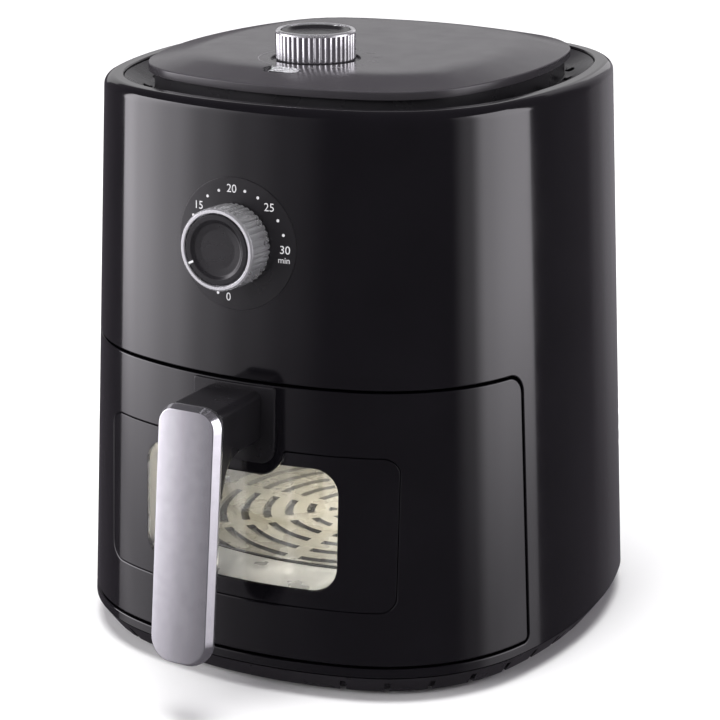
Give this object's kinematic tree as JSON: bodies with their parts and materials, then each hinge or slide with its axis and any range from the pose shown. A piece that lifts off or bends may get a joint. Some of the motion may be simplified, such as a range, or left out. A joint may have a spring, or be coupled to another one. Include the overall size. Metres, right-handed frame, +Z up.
{
  "type": "air fryer",
  "caption": "Countertop air fryer with a glazed pull-out frying drawer, crisper plate, timer and temperature dials, hot-air fan.",
  "frame": {"origin": "centre of the footprint, on the worktop", "axes": "+Z up, front of the appliance towards -Y, +X to the right seen from the front"},
  "size_m": [0.2686, 0.3335, 0.3176],
  "materials": {
    "casing": "high-gloss black moulded plastic",
    "drawer_skin": "high-gloss black moulded plastic",
    "top_satin": "satin dark grey moulded plastic",
    "black_plastic": "satin black moulded plastic",
    "dark_vent": "matte black moulded plastic",
    "chrome": "fluted plated metal",
    "knob_cap": "satin black cap with a white pointer",
    "silver_paint": "satin silver lacquer",
    "window_glass": "lightly tinted clear glass",
    "window_print": "black enamel print on glass",
    "clear_glass": "clear glass",
    "lens": "translucent smoked lens",
    "pot_coating": "warm grey metallic non-stick coating",
    "sheet_steel": "bright sheet steel",
    "element": "heat-tinted steel sheath",
    "steel": "turned steel",
    "aluminium": "pressed aluminium",
    "brass": "sintered bronze",
    "rubber": "black rubber",
    "silicone": "dark grey silicone",
    "board": "green circuit board",
    "white_plastic": "heat-resistant off-white plastic"
  },
  "bodies": {
    "housing": {"outer_shell": "casing", "rear_grille": "dark_vent", "rear_screws": "steel", "base_pan": "black_plastic", "feet": "rubber", "cord_inlet": "rubber", "top_vent_ring": "dark_vent", "top_plate": "top_satin", "indicator_lens": "lens", "indicator_board": "board", "thermostat_body": "white_plastic", "thermostat_bracket": "steel", "timer_bezel": "black_plastic", "timer_body": "white_plastic", "timer_bell": "steel", "top_deck": "sheet_steel", "reflector_dome": "sheet_steel", "heating_element": "element", "heater_guard": "steel", "motor_bearings": "brass", "motor_stator": "element", "motor_lower_bracket": "sheet_steel", "motor_upper_bracket": "sheet_steel", "lamp_lens": "clear_glass", "lamp_bulb": "clear_glass", "lamp_holder": "white_plastic", "temperature_sensor": "steel", "thermal_fuse": "white_plastic", "chamber_liner": "sheet_steel", "drawer_rails": "black_plastic", "terminal_block": "white_plastic", "switch_body": "black_plastic"},
    "drawer": {"drawer_front_panel": "drawer_skin", "window_glass_outer": "window_glass", "window_mask": "window_print", "drawer_inner_panel": "black_plastic", "pot": "pot_coating", "window_glass_inner": "clear_glass", "window_gasket": "silicone", "window_tunnel": "sheet_steel", "pot_bracket": "black_plastic", "handle_face_plate": "silver_paint", "handle_arm": "black_plastic", "handle_mount_plate": "black_plastic", "drawer_screws": "steel"},
    "crisper": {"crisper_plate": "pot_coating", "crisper_bumpers": "silicone"},
    "timer_dial": {"timer_knob": "chrome", "timer_knob_ring": "chrome", "timer_knob_cap": "knob_cap", "timer_shaft": "steel"},
    "temperature_dial": {"temperature_knob": "chrome", "temperature_knob_ring": "chrome", "temperature_knob_cap": "knob_cap", "thermostat_shaft": "steel"},
    "fan_rotor": {"motor_shaft": "steel", "convection_fan": "aluminium", "cooling_fan": "aluminium", "fan_nut": "steel"},
    "switch_pin": {"switch_plunger": "white_plastic"}
  },
  "joints": [
    {"name": "drawer_slide", "type": "slide", "parent": "housing", "child": "drawer", "axis": [0, -1, 0], "range_m": [0, 0.24]},
    {"name": "crisper_lift", "type": "slide", "parent": "drawer", "child": "crisper", "axis": [0, 0, 1], "range_m": [0, 0.08]},
    {"name": "timer_turn", "type": "hinge", "parent": "housing", "child": "timer_dial", "pos_m": [0, -0.12995, 0.2258], "axis": [0, -0.9989, 0.0462], "range_deg": [-209, 55]},
    {"name": "temperature_turn", "type": "hinge", "parent": "housing", "child": "temperature_dial", "pos_m": [0, -0.0495, 0.302], "axis": [0, 0, 1], "range_deg": [-130, 130]},
    {"name": "fan_spin", "type": "hinge", "parent": "housing", "child": "fan_rotor", "pos_m": [0, 0, 0.19], "axis": [0, 0, 1], "continuous": true},
    {"name": "switch_press", "type": "slide", "parent": "housing", "child": "switch_pin", "axis": [0, 1, 0], "range_m": [0, 0.0025], "stiffness_N_per_m": 200}
  ]
}
